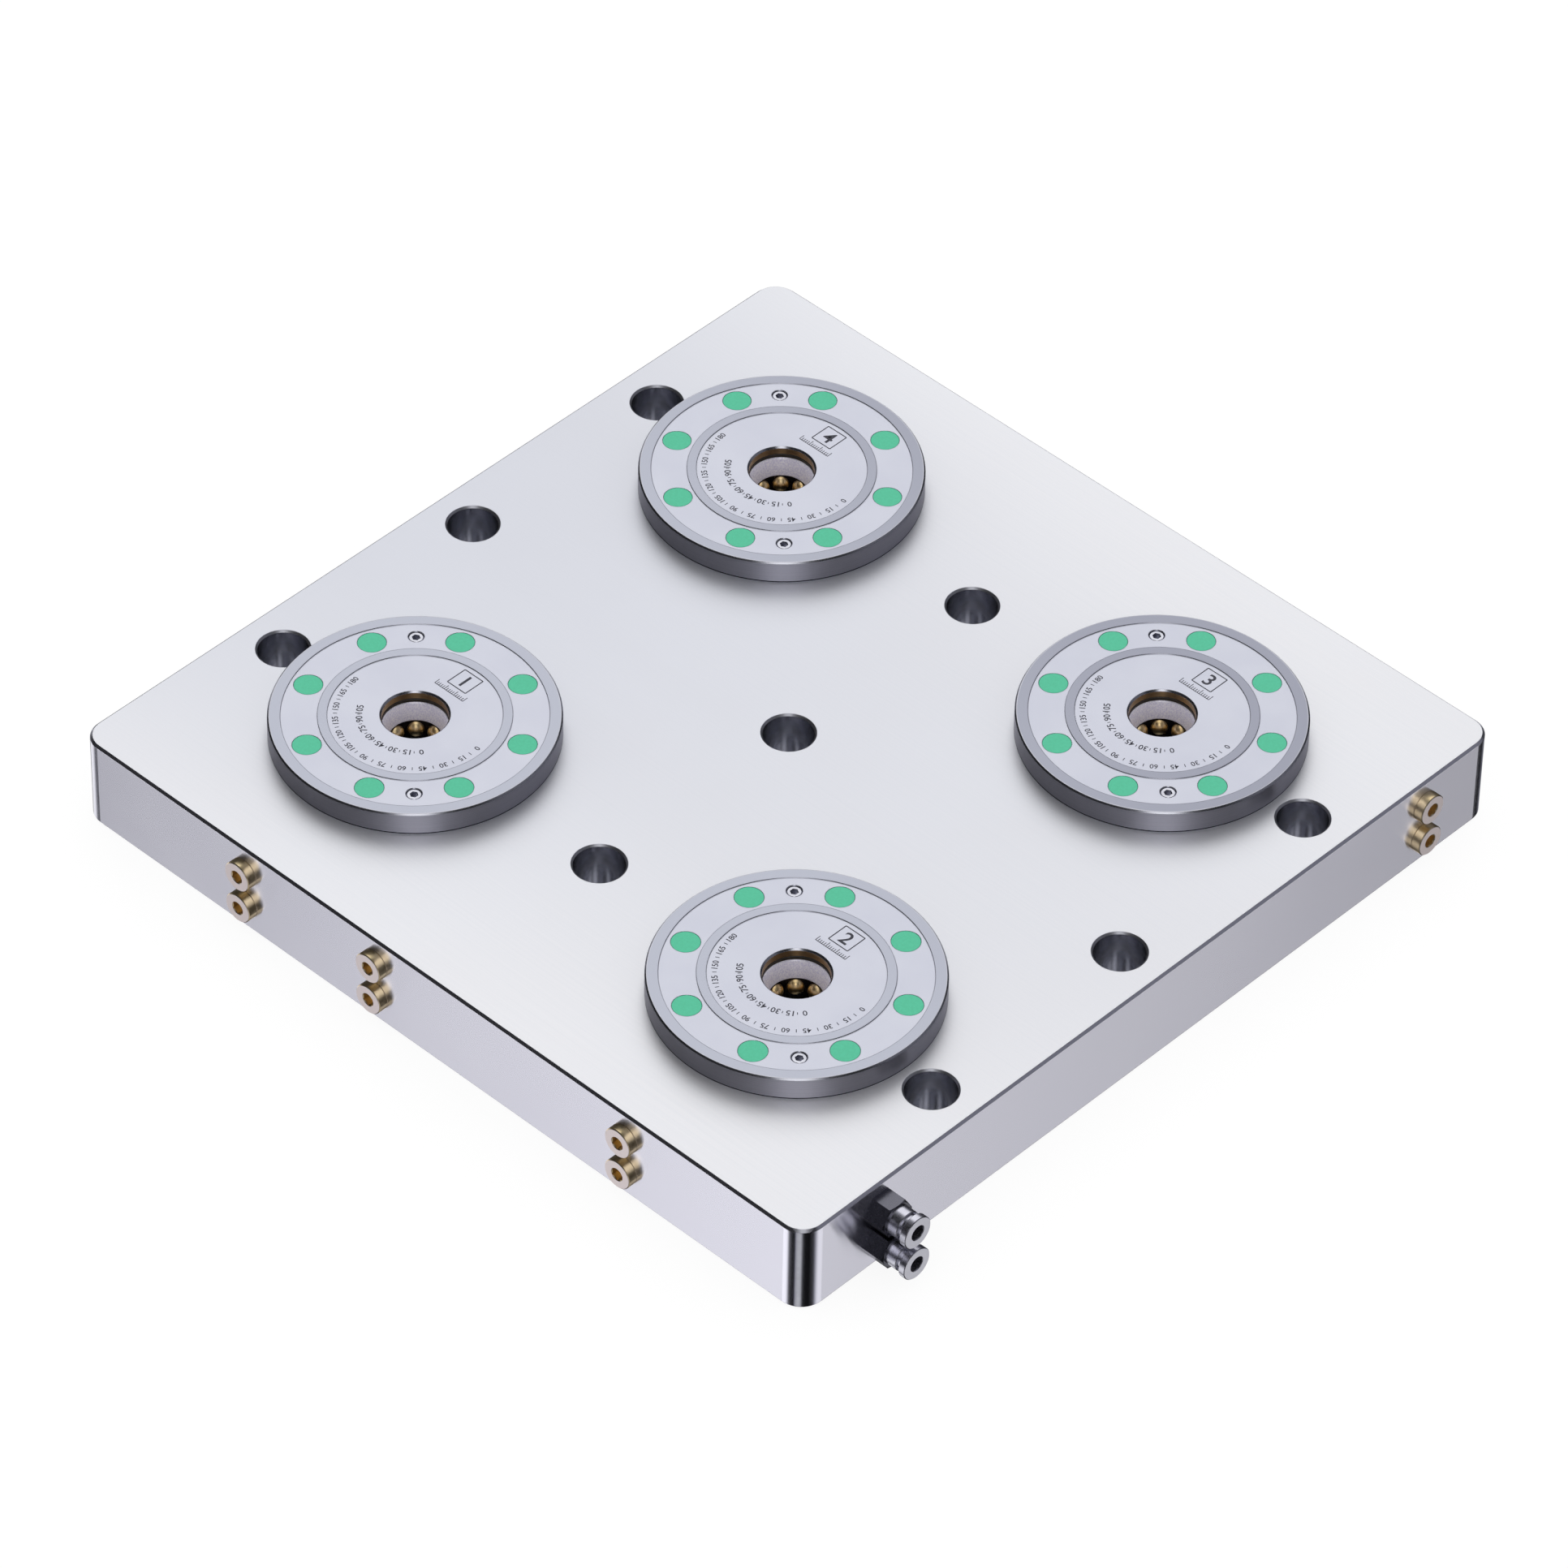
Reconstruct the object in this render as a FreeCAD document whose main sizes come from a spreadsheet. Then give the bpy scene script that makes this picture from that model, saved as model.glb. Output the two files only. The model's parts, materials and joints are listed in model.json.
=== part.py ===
import FreeCAD, Part
import math
import os
import Sketcher

# Zero point clamping plate with four ball lock stations.
# Millimetres. +Z is up, +X points to the side that carries the two air fittings.
# The origin is on the axis of the centre mounting hole, at the underside of the plate.
# At rest every station is locked: the disc springs hold the pistons down.

DIMENSIONS = {
    # base plate
    "plate_length": 380.0,
    "plate_width": 380.0,
    "plate_thick": 40.0,
    "plate_corner_radius": 10.0,
    "plate_edge_chamfer": 1.0,
    "station_pitch": 200.0,
    "well_floor": 8.0,
    "cage_seat_depth": 2.0,
    # mounting holes
    "mount_side_inset": 20.0,
    "mount_row_offset": 102.0,
    "mount_hole_dia": 13.5,
    "mount_head_dia": 20.0,
    "mount_head_depth": 25.0,
    "mount_mouth_chamfer": 0.8,
    # air channels
    "channel_dia": 6.0,
    "channel_floor_gap": 1.0,
    "channel_level_pitch": 16.0,
    "channel_side_inset": 40.0,
    "cross_channel_offset": 30.0,
    "port_dia": 9.8,
    "port_depth": 12.0,
    # flange cover
    "flange_dia": 112.0,
    "flange_height": 10.0,
    "flange_edge_chamfer": 0.6,
    "flange_foot_chamfer": 0.3,
    "inner_ring_width": 3.7,
    "ring_height": 0.3,
    "spigot_depth": 4.0,
    "spigot_clearance": 0.05,
    "seat_dia": 25.6,
    "seat_mouth_chamfer": 0.7,
    "seat_depth": 3.7,
    "wiper_groove_height": 2.0,
    "wiper_groove_depth": 1.1,
    "seat_lead_chamfer": 0.4,
    "seat_cone_step": 0.2,
    "seat_cone_taper": 2.1,
    # cover screws, their caps and the jacking screws
    "screw_rim_inset": 12.0,
    "screw_well_wall": 5.0,
    "screw_dia": 6.0,
    "screw_length": 16.0,
    "screw_head_gap": 0.65,
    "screw_head_height": 4.0,
    "screw_hex": 4.0,
    "screw_hex_depth": 2.3,
    "screw_hole_clearance": 0.3,
    "thread_clearance": 0.05,
    "cap_dia": 11.3,
    "cap_thick": 2.5,
    "cap_edge": 0.2,
    "cap_clearance": 0.03,
    "cap_ring_gap": 1.35,
    "jack_dia": 6.0,
    "jack_hex": 3.0,
    "jack_hex_depth": 3.5,
    "jack_sink": 0.4,
    "jack_mouth_chamfer": 0.2,
    "jack_point_chamfer": 1.2,
    # ball cage and balls
    "ball_dia": 7.5,
    "ball_depth": 17.15,
    "ball_setback": 1.0,
    "ball_travel": 3.0,
    "ball_clearance": 0.04,
    "cage_bore_chamfer": 1.0,
    "ball_relief": 0.25,
    "cage_foot_width": 5.0,
    "cage_foot_height": 4.0,
    "cage_top_wall": 0.5,
    "cage_shoulder_gap": 1.2,
    "cage_seat_clearance": 0.05,
    # piston
    "piston_stroke": 5.0,
    "piston_clearance": 0.08,
    "piston_floor_gap": 0.3,
    "piston_foot_gap": 1.0,
    "piston_relief": 2.5,
    "piston_neck_wall": 1.9,
    "piston_neck_rise": 3.0,
    "piston_neck_chamfer": 2.0,
    "piston_roof_gap": 1.0,
    "air_slot_width": 6.0,
    "air_slot_height": 2.0,
    # disc springs
    "disc_rim_gap": 4.0,
    "disc_thick": 2.0,
    "disc_pitch": 3.5,
    "disc_clearance": 0.5,
    "disc_air": 0.05,
    # seals
    "piston_seal_section": 2.6,
    "cage_seal_section": 2.2,
    "cover_seal_section": 1.8,
    "seal_groove_margin": 0.4,
    "seal_clearance": 0.02,
    "seal_land": 1.2,
    "cage_seal_rise": 12.0,
    # channel plugs
    "plug_head_dia": 12.7,
    "plug_head_height": 4.0,
    "plug_head_chamfer": 0.35,
    "plug_foot_chamfer": 0.2,
    "plug_hex": 5.0,
    "plug_mouth_dia": 5.9,
    "plug_hex_depth": 5.0,
    "plug_thread_length": 8.0,
    # air fittings
    "fitting_hex": 14.0,
    "fitting_hex_length": 9.0,
    "fitting_hex_chamfer": 1.1,
    "fitting_core_inset": 0.5,
    "fitting_barrel_dia": 12.0,
    "fitting_barrel_length": 5.0,
    "fitting_bore_dia": 10.1,
    "fitting_bore_depth": 9.0,
    "fitting_stop_depth": 3.0,
    "fitting_passage_dia": 4.0,
    "tube_dia": 6.1,
    "sleeve_gap": 2.0,
    "sleeve_clearance": 0.05,
    "sleeve_floor_gap": 2.0,
    "sleeve_flange_dia": 13.6,
    "sleeve_flange_thick": 3.0,
    "sleeve_flange_chamfer": 0.3,
}

BALLS_PER_STATION = 8
SCREWS_PER_STATION = 8
DISCS_PER_STATION = 4
AIR_SLOTS = 4
# The first screw lies half a step from +X, so that each jacking screw sits between two.
FIRST_SCREW_ANGLE = 22.5
FIRST_JACK_ANGLE = 135.0
# Stations run counter-clockwise, seen from above, from the corner at -X, -Y.
STATIONS = {1: (-1, -1), 2: (1, -1), 3: (1, 1), 4: (-1, 1)}

doc = FreeCAD.newDocument("zero_point_plate")
sheet = doc.addObject("Spreadsheet::Sheet", "sizes")
for row, (alias, number) in enumerate(DIMENSIONS.items(), start=1):
    sheet.set(f"A{row}", alias)
    sheet.set(f"B{row}", str(number))
    sheet.setAlias(f"B{row}", alias)
doc.recompute()


class Size:
    """A length that knows both its number and the sheet expression behind it."""

    def __init__(self, number, text):
        self.number = number
        self.text = text

    def combine(self, sign, other, number):
        return Size(number, f"({self.text} {sign} {other.text})")

    def __add__(self, other):
        other = as_size(other)
        return self.combine("+", other, self.number + other.number)

    def __sub__(self, other):
        other = as_size(other)
        return self.combine("-", other, self.number - other.number)

    def __mul__(self, other):
        other = as_size(other)
        return self.combine("*", other, self.number * other.number)

    def __truediv__(self, other):
        other = as_size(other)
        return self.combine("/", other, self.number / other.number)

    def __neg__(self):
        return self * -1


def as_size(value):
    """A plain number as a Size; a Size as it is."""
    if isinstance(value, Size):
        return value
    return Size(float(value), f"({float(value)})")


def dim(alias):
    """The driving dimension of that name."""
    return Size(DIMENSIONS[alias], f"sizes.{alias}")


def half(alias):
    """Half a driving dimension, mostly the radius that belongs to a diameter."""
    return dim(alias) / 2


def root(size):
    """The square root of a size."""
    return Size(math.sqrt(size.number), f"sqrt({size.text})")


def bind(thing, target, size):
    """Tie a property to the sheet."""
    thing.setExpression(target, as_size(size).text)


# Helpers for bodies, sketches and features


def new_body(name, x=0, y=0, z=0, rotation=None):
    """A body whose placement is bound to the sheet."""
    body = doc.addObject("PartDesign::Body", name)
    if rotation:
        body.Placement.Rotation = rotation
    for axis, size in (("x", x), ("y", y), ("z", z)):
        bind(body, f"Placement.Base.{axis}", size)
    return body


def new_sketch(body, role, name, x=0, y=0, z=0):
    """A sketch on one of the body's own origin planes, shifted within that plane's frame."""
    sketch = body.newObject("Sketcher::SketchObject", f"{body.Name}_{name}")
    plane = next(item for item in body.Origin.OriginFeatures if item.Role == role)
    sketch.AttachmentSupport = (plane, [""])
    sketch.MapMode = "FlatFace"
    for axis, size in (("x", x), ("y", y), ("z", z)):
        bind(sketch, f"AttachmentOffset.Base.{axis}", size)
    return sketch


def constrain(sketch, kind, parts, size):
    """Add a dimension and tie it to the sheet."""
    size = as_size(size)
    index = sketch.addConstraint(Sketcher.Constraint(kind, *parts, size.number))
    bind(sketch, f"Constraints[{index}]", size)


def add_circle(sketch, x, y, radius):
    """A circle, fixed by its centre and its radius."""
    x, y, radius = as_size(x), as_size(y), as_size(radius)
    centre = FreeCAD.Vector(x.number, y.number, 0)
    circle = sketch.addGeometry(Part.Circle(centre, FreeCAD.Vector(0, 0, 1), radius.number))
    constrain(sketch, "Radius", (circle,), radius)
    constrain(sketch, "DistanceX", (-1, 1, circle, 3), x)
    constrain(sketch, "DistanceY", (-1, 1, circle, 3), y)


def add_outline(sketch, points):
    """A closed outline of straight lines through points given as (x, y) sizes."""
    corners = [(as_size(x), as_size(y)) for x, y in points]
    spots = [FreeCAD.Vector(x.number, y.number, 0) for x, y in corners]
    lines = [sketch.addGeometry(Part.LineSegment(spot, spots[(index + 1) % len(spots)]))
             for index, spot in enumerate(spots)]
    for index, line in enumerate(lines):
        following = lines[(index + 1) % len(lines)]
        sketch.addConstraint(Sketcher.Constraint("Coincident", line, 2, following, 1))
    for line, (x, y) in zip(lines, corners):
        constrain(sketch, "DistanceX", (-1, 1, line, 1), x)
        constrain(sketch, "DistanceY", (-1, 1, line, 1), y)


def add_rectangle(sketch, low_x, low_y, high_x, high_y):
    """A rectangle between two opposite corners."""
    add_outline(sketch, [(low_x, low_y), (high_x, low_y), (high_x, high_y), (low_x, high_y)])


def add_hexagon(sketch, across_flats):
    """A hexagon round the sketch origin, with two flats square to the sketch's X axis."""
    flat = across_flats / 2
    tip = across_flats / math.sqrt(3)
    add_outline(sketch, [(flat, tip / 2), (0, tip), (-flat, tip / 2),
                         (-flat, -tip / 2), (0, -tip), (flat, -tip / 2)])


def add_feature(body, kind, name, sketch):
    """A feature made from a sketch; it becomes the body's tip."""
    feature = body.newObject(f"PartDesign::{kind}", f"{body.Name}_{name}")
    feature.Profile = sketch
    body.Tip = feature
    return feature


def pad(body, name, sketch, length):
    feature = add_feature(body, "Pad", name, sketch)
    bind(feature, "Length", length)
    return feature


def pocket(body, name, sketch, length, against_normal=True):
    """A cut from the sketch plane; it runs against the plane's normal unless told otherwise."""
    feature = add_feature(body, "Pocket", name, sketch)
    feature.Reversed = not against_normal
    bind(feature, "Length", length)
    return feature


def turn(body, name, sketch, axis="V_Axis"):
    """A full revolution about one of the sketch's axes."""
    feature = add_feature(body, "Revolution", name, sketch)
    feature.ReferenceAxis = (sketch, [axis])
    feature.Angle = 360
    return feature


def turned_cut(body, name, sketch, axis="V_Axis"):
    """A full groove about one of the sketch's axes."""
    feature = add_feature(body, "Groove", name, sketch)
    feature.ReferenceAxis = (sketch, [axis])
    feature.Angle = 360
    return feature


def drilled(body, name, sketch, diameter, head_diameter, head_depth):
    """A through hole with a counterbore, from the sketch plane downwards."""
    doc.recompute()
    feature = add_feature(body, "Hole", name, sketch)
    feature.DepthType = "ThroughAll"
    feature.HoleCutType = "Counterbore"
    feature.HoleCutCustomValues = True
    bind(feature, "Diameter", diameter)
    bind(feature, "HoleCutDiameter", head_diameter)
    bind(feature, "HoleCutDepth", head_depth)
    return feature


def repeat_round(body, feature, sketch, count):
    """Copies of a feature round the axis through the sketch origin."""
    pattern = body.newObject("PartDesign::PolarPattern", f"{feature.Name}_round")
    pattern.Originals = [feature]
    pattern.Axis = (sketch, ["N_Axis"])
    pattern.Angle = 360
    pattern.Occurrences = count
    body.Tip = pattern
    return pattern


def linear_step(body, name, sketch, axis, length, count=2):
    """One straight step of a compound pattern."""
    step = body.newObject("PartDesign::LinearPattern", name)
    step.Direction = (sketch, [axis])
    bind(step, "Length", length)
    step.Occurrences = count
    return step


def repeat_at_stations(body, features, sketch, round_count=1):
    """Copies of features round a station's axis, and then at all four stations."""
    name = features[0].Name
    pattern = body.newObject("PartDesign::MultiTransform", f"{name}_stations")
    pattern.Originals = features
    steps = []
    if round_count > 1:
        round_step = body.newObject("PartDesign::PolarPattern", f"{name}_round")
        round_step.Axis = (sketch, ["N_Axis"])
        round_step.Angle = 360
        round_step.Occurrences = round_count
        steps.append(round_step)
    steps.append(linear_step(body, f"{name}_along_x", sketch, "H_Axis", dim("station_pitch")))
    steps.append(linear_step(body, f"{name}_along_y", sketch, "V_Axis", dim("station_pitch")))
    pattern.Transformations = steps
    body.Tip = pattern
    return pattern


def dress(body, kind, name, base, edges, size):
    """A fillet or a chamfer on edges of a feature, chosen by a test on each edge."""
    doc.recompute()
    chosen = [f"Edge{index}" for index, edge in enumerate(base.Shape.Edges, start=1) if edges(edge)]
    feature = body.newObject(f"PartDesign::{kind}", f"{body.Name}_{name}")
    feature.Base = (base, chosen)
    bind(feature, "Radius" if kind == "Fillet" else "Size", size)
    body.Tip = feature
    return feature


def lies_level(edge, height):
    """True for an edge that lies in the horizontal plane at that height."""
    return all(abs(vertex.Point.z - height) < 1e-6 for vertex in edge.Vertexes)


def is_circle(edge, diameter):
    """True for a round edge of that diameter."""
    return hasattr(edge.Curve, "Radius") and abs(2 * edge.Curve.Radius - diameter) < 1e-6


def on_circle(radius, angle):
    """The point at an angle in degrees on a circle round the sketch origin."""
    return (radius * math.cos(math.radians(angle)), radius * math.sin(math.radians(angle)))


# Heights and radii that several pieces share, worked out from the driving dimensions

plate_top = dim("plate_thick")
flange_top = plate_top + dim("flange_height")
flange_face = flange_top - dim("ring_height")
screw_circle = half("flange_dia") - dim("screw_rim_inset")
well_radius = screw_circle - dim("screw_well_wall")
station_offset = half("station_pitch")

channel_low = dim("well_floor") + dim("channel_floor_gap") + half("channel_dia")
channel_high = channel_low + dim("channel_level_pitch")
side_channel = half("plate_width") - dim("channel_side_inset")

ball_radius = half("ball_dia")
ball_level = flange_top - dim("ball_depth")
seat_cone_start = half("seat_dia") - dim("seat_cone_step")
seat_cone_end = seat_cone_start - dim("seat_cone_taper")
cage_bore = seat_cone_end
ball_ring = cage_bore + dim("ball_setback")
wedge_slope = dim("ball_travel") / dim("piston_stroke")
wedge_stretch = root(wedge_slope * wedge_slope + 1)
# The wedge cone's radius at ball height, one clearance outside the locked balls.
wedge_radius = ball_ring + (ball_radius + dim("ball_clearance")) * wedge_stretch

cage_foot_top = dim("well_floor") + dim("cage_foot_height")
# The balls, pushed right out, still clear the piston's straight bore.
cage_guide = ball_ring + dim("ball_travel") + ball_radius + dim("ball_relief")
cage_foot = cage_guide + dim("cage_foot_width")
cage_top = ball_level + ball_radius + dim("cage_top_wall")
cage_shoulder = ball_level - ball_radius - dim("cage_shoulder_gap")

piston_radius = well_radius - dim("piston_clearance")
piston_bore = cage_guide + dim("piston_clearance")
piston_neck = piston_bore + dim("piston_neck_wall")
piston_foot = dim("well_floor") + dim("piston_floor_gap")
piston_neck_top = ball_level + dim("piston_neck_rise")
wedge_foot = ball_level + (wedge_radius - piston_bore) / wedge_slope
wedge_top_radius = wedge_radius - dim("piston_neck_rise") * wedge_slope
cage_upper_radius = wedge_top_radius - dim("disc_clearance")

spigot_radius = well_radius - dim("spigot_clearance")
spigot_floor = plate_top - dim("spigot_depth")
disc_bore = piston_neck + dim("disc_clearance")
piston_shoulder = spigot_floor - dim("disc_pitch") * DISCS_PER_STATION
piston_land = channel_low + half("channel_dia") + dim("piston_floor_gap")
cover_roof = piston_neck_top + dim("piston_stroke") + dim("piston_roof_gap")

piston_seal_groove = piston_land + dim("seal_land")
cage_seal_groove = dim("well_floor") + dim("cage_seal_rise")
cover_seal_groove = spigot_floor + dim("seal_groove_margin") * 2

screw_seat_depth = dim("cap_thick") + dim("screw_head_height") + dim("cap_clearance")
screw_seat = flange_face - screw_seat_depth
cap_floor = flange_face - dim("cap_thick")


def make_base_plate():
    """The block that carries the four stations, the mounting holes and the air channels."""
    body = new_body("base_plate")
    outline = new_sketch(body, "XY_Plane", "outline")
    add_rectangle(outline, -half("plate_length"), -half("plate_width"),
                  half("plate_length"), half("plate_width"))
    block = pad(body, "block", outline, plate_top)
    block = dress(body, "Fillet", "corners", block,
                  lambda edge: abs(edge.tangentAt(edge.FirstParameter).z) > 0.99,
                  dim("plate_corner_radius"))
    dress(body, "Chamfer", "edges", block,
          lambda edge: lies_level(edge, 0) or lies_level(edge, plate_top.number),
          dim("plate_edge_chamfer"))

    well = new_sketch(body, "XY_Plane", "well", -station_offset, -station_offset, plate_top)
    add_circle(well, 0, 0, well_radius)
    wells = [pocket(body, "well", well, plate_top - dim("well_floor"))]
    seat = new_sketch(body, "XY_Plane", "seat", -station_offset, -station_offset, dim("well_floor"))
    add_circle(seat, 0, 0, cage_foot + dim("cage_seat_clearance"))
    wells.append(pocket(body, "seat", seat, dim("cage_seat_depth")))
    repeat_at_stations(body, wells, well)

    screw = new_sketch(body, "XY_Plane", "screw", -station_offset, -station_offset, plate_top)
    add_circle(screw, *on_circle(screw_circle, FIRST_SCREW_ANGLE),
               half("screw_dia") + dim("thread_clearance"))
    screw_hole = pocket(body, "screw_hole", screw,
                        plate_top - screw_seat + dim("screw_length") + dim("screw_dia") / 3)
    repeat_at_stations(body, [screw_hole], screw, SCREWS_PER_STATION)

    drill_air_channels(body)
    drill_mounting_holes(body)


def drill_air_channels(body):
    """Two levels of ring main: three lines from the front and two from the right side."""
    front_lines = [-station_offset, -dim("cross_channel_offset"), station_offset]
    right_lines = [-side_channel, side_channel]
    front_reach = half("plate_width") + side_channel
    right_reach = half("plate_length") + station_offset
    channel = half("channel_dia")
    port = half("port_dia")
    front = new_sketch(body, "XZ_Plane", "front_channels", z=half("plate_width"))
    front_ports = new_sketch(body, "XZ_Plane", "front_ports", z=half("plate_width"))
    right = new_sketch(body, "YZ_Plane", "right_channels", z=half("plate_length"))
    right_ports = new_sketch(body, "YZ_Plane", "right_ports", z=half("plate_length"))
    for level in (channel_low, channel_high):
        for line in front_lines:
            add_circle(front, line, level, channel)
            add_circle(front_ports, line, level, port)
        for line in right_lines:
            add_circle(right, line, level, channel)
            add_circle(right_ports, line, level, port)
    pocket(body, "front_channel", front, front_reach)
    pocket(body, "right_channel", right, right_reach)
    pocket(body, "front_port", front_ports, dim("port_depth"))
    pocket(body, "right_port", right_ports, dim("port_depth"))


def drill_mounting_holes(body):
    """Nine counterbored holes on a three by three grid, with a chamfered mouth."""
    reach_x = half("plate_length") - dim("mount_side_inset")
    reach_y = dim("mount_row_offset")
    corner = new_sketch(body, "XY_Plane", "mount", -reach_x, -reach_y, plate_top)
    add_circle(corner, 0, 0, half("mount_head_dia"))
    hole = drilled(body, "mount_hole", corner, dim("mount_hole_dia"),
                   dim("mount_head_dia"), dim("mount_head_depth"))
    grid = body.newObject("PartDesign::MultiTransform", "mount_grid")
    grid.Originals = [hole]
    grid.Transformations = [
        linear_step(body, "mount_columns", corner, "H_Axis", reach_x * 2, 3),
        linear_step(body, "mount_rows", corner, "V_Axis", reach_y * 2, 3),
    ]
    body.Tip = grid
    dress(body, "Chamfer", "mount_mouths", grid,
          lambda edge: lies_level(edge, plate_top.number)
          and is_circle(edge, DIMENSIONS["mount_head_dia"]),
          dim("mount_mouth_chamfer"))


def at_station(name, number):
    """A body whose own Z axis is a station's axis."""
    side_x, side_y = STATIONS[number]
    return new_body(f"{name}_{number}", station_offset * side_x, station_offset * side_y)


def make_flange_cover(number):
    """The raised flange, its spigot, and the taper seat for a pull stud."""
    body = at_station("flange_cover", number)
    rim = half("flange_dia")
    edge = dim("flange_edge_chamfer")
    foot = dim("flange_foot_chamfer")
    # The two raised rings run just outside and just inside the circle of caps.
    outer_ring = screw_circle + half("cap_dia") + dim("cap_ring_gap")
    ring_out = screw_circle - half("cap_dia") - dim("cap_ring_gap")
    ring_in = ring_out - dim("inner_ring_width")
    seat = half("seat_dia")
    mouth = dim("seat_mouth_chamfer")
    groove_top = flange_top - dim("seat_depth")
    groove_floor = groove_top - dim("wiper_groove_height")
    profile = new_sketch(body, "XZ_Plane", "profile")
    add_outline(profile, [
        (seat + mouth, flange_face),
        (seat, flange_face - mouth),
        (seat, groove_top),
        (seat + dim("wiper_groove_depth"), groove_top),
        (seat + dim("wiper_groove_depth"), groove_floor),
        (seat_cone_start + dim("seat_lead_chamfer"), groove_floor),
        (seat_cone_start, groove_floor - dim("seat_lead_chamfer")),
        (seat_cone_end, cage_top),
        (cage_upper_radius, cage_top),
        (cage_upper_radius, cover_roof),
        (disc_bore + dim("disc_clearance"), cover_roof),
        (disc_bore + dim("disc_clearance"), spigot_floor),
        (spigot_radius, spigot_floor),
        (spigot_radius, plate_top),
        (rim - foot, plate_top),
        (rim, plate_top + foot),
        (rim, flange_top - edge),
        (rim - edge, flange_top),
        (outer_ring, flange_top),
        (outer_ring, flange_face),
        (ring_out, flange_face),
        (ring_out, flange_top),
        (ring_in, flange_top),
        (ring_in, flange_face),
    ])
    turn(body, "flange", profile)
    cut_ring_groove(body, "seal_groove", spigot_radius, cover_seal_groove, "cover_seal_section")

    screw = new_sketch(body, "XY_Plane", "screw", z=flange_face)
    add_circle(screw, *on_circle(screw_circle, FIRST_SCREW_ANGLE), half("cap_dia"))
    hole = drilled(body, "screw_hole", screw, dim("screw_dia") + dim("screw_hole_clearance") * 2,
                   dim("cap_dia"), screw_seat_depth)
    repeat_round(body, hole, screw, SCREWS_PER_STATION)

    jack = new_sketch(body, "XY_Plane", "jack", z=flange_face)
    add_circle(jack, *on_circle(screw_circle, FIRST_JACK_ANGLE),
               half("jack_dia") + dim("thread_clearance"))
    jack_hole = pocket(body, "jack_hole", jack, flange_face - plate_top)
    jack_holes = repeat_round(body, jack_hole, jack, 2)
    jack_diameter = DIMENSIONS["jack_dia"] + 2 * DIMENSIONS["thread_clearance"]
    dress(body, "Chamfer", "jack_mouths", jack_holes,
          lambda edge: lies_level(edge, flange_face.number) and is_circle(edge, jack_diameter),
          dim("jack_mouth_chamfer"))


def cut_ring_groove(body, name, radius, floor, section):
    """A square groove for a round seal ring, cut inwards from a turned face."""
    depth = dim(section)
    groove = new_sketch(body, "XZ_Plane", name)
    add_rectangle(groove, radius - depth, floor, radius + dim("seal_land"),
                  floor + depth + dim("seal_groove_margin") * 2)
    turned_cut(body, f"{name}_cut", groove)


def make_ball_cage(number):
    """The bush that guides the balls; the cover presses it into its seat in the well."""
    body = at_station("ball_cage", number)
    chamfer = dim("cage_bore_chamfer")
    profile = new_sketch(body, "XZ_Plane", "profile")
    add_outline(profile, [
        (cage_bore, dim("well_floor") - dim("cage_seat_depth")),
        (cage_foot, dim("well_floor") - dim("cage_seat_depth")),
        (cage_foot, cage_foot_top - chamfer),
        (cage_foot - chamfer, cage_foot_top),
        (cage_guide, cage_foot_top),
        (cage_guide, cage_shoulder - chamfer),
        (cage_guide - chamfer, cage_shoulder),
        (cage_upper_radius, cage_shoulder),
        (cage_upper_radius, cage_top),
        (cage_bore, cage_top),
    ])
    turn(body, "bush", profile)
    cut_ring_groove(body, "seal_groove", cage_guide, cage_seal_groove, "cage_seal_section")

    # A drilled pocket whose rounded inner end holds the ball back from the bore.
    pocket_radius = ball_radius + dim("ball_clearance")
    drill = new_sketch(body, "XZ_Plane", "pocket", y=ball_level)
    outer_end = cage_upper_radius + dim("cage_bore_chamfer")
    centre = FreeCAD.Vector(ball_ring.number, 0, 0)
    circle = Part.Circle(centre, FreeCAD.Vector(0, 0, 1), pocket_radius.number)
    nose = sketch_arc(drill, circle, math.pi / 2, math.pi)
    top_left = FreeCAD.Vector(ball_ring.number, pocket_radius.number, 0)
    top_right = FreeCAD.Vector(outer_end.number, pocket_radius.number, 0)
    low_right = FreeCAD.Vector(outer_end.number, 0, 0)
    low_left = FreeCAD.Vector(ball_ring.number - pocket_radius.number, 0, 0)
    wall = drill.addGeometry(Part.LineSegment(top_left, top_right))
    end = drill.addGeometry(Part.LineSegment(top_right, low_right))
    axis = drill.addGeometry(Part.LineSegment(low_right, low_left))
    for first, first_end, second, second_end in (
            (nose, 1, wall, 1), (wall, 2, end, 1), (end, 2, axis, 1), (axis, 2, nose, 2)):
        drill.addConstraint(Sketcher.Constraint("Coincident", first, first_end, second, second_end))
    drill.addConstraint(Sketcher.Constraint("Horizontal", wall))
    drill.addConstraint(Sketcher.Constraint("Vertical", end))
    drill.addConstraint(Sketcher.Constraint("PointOnObject", end, 2, -1))
    drill.addConstraint(Sketcher.Constraint("PointOnObject", axis, 2, -1))
    drill.addConstraint(Sketcher.Constraint("PointOnObject", nose, 3, -1))
    constrain(drill, "DistanceX", (-1, 1, nose, 3), ball_ring)
    constrain(drill, "DistanceX", (-1, 1, end, 2), outer_end)
    constrain(drill, "Radius", (nose,), pocket_radius)
    constrain(drill, "DistanceX", (-1, 1, wall, 1), ball_ring)
    ball_pocket = turned_cut(body, "ball_pocket", drill, "H_Axis")
    round_axis = new_sketch(body, "XY_Plane", "round_axis")
    repeat_round(body, ball_pocket, round_axis, BALLS_PER_STATION)


def sketch_arc(sketch, circle, start, end):
    """An arc of a circle between two angles in radians."""
    return sketch.addGeometry(Part.ArcOfCircle(circle, start, end))


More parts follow.
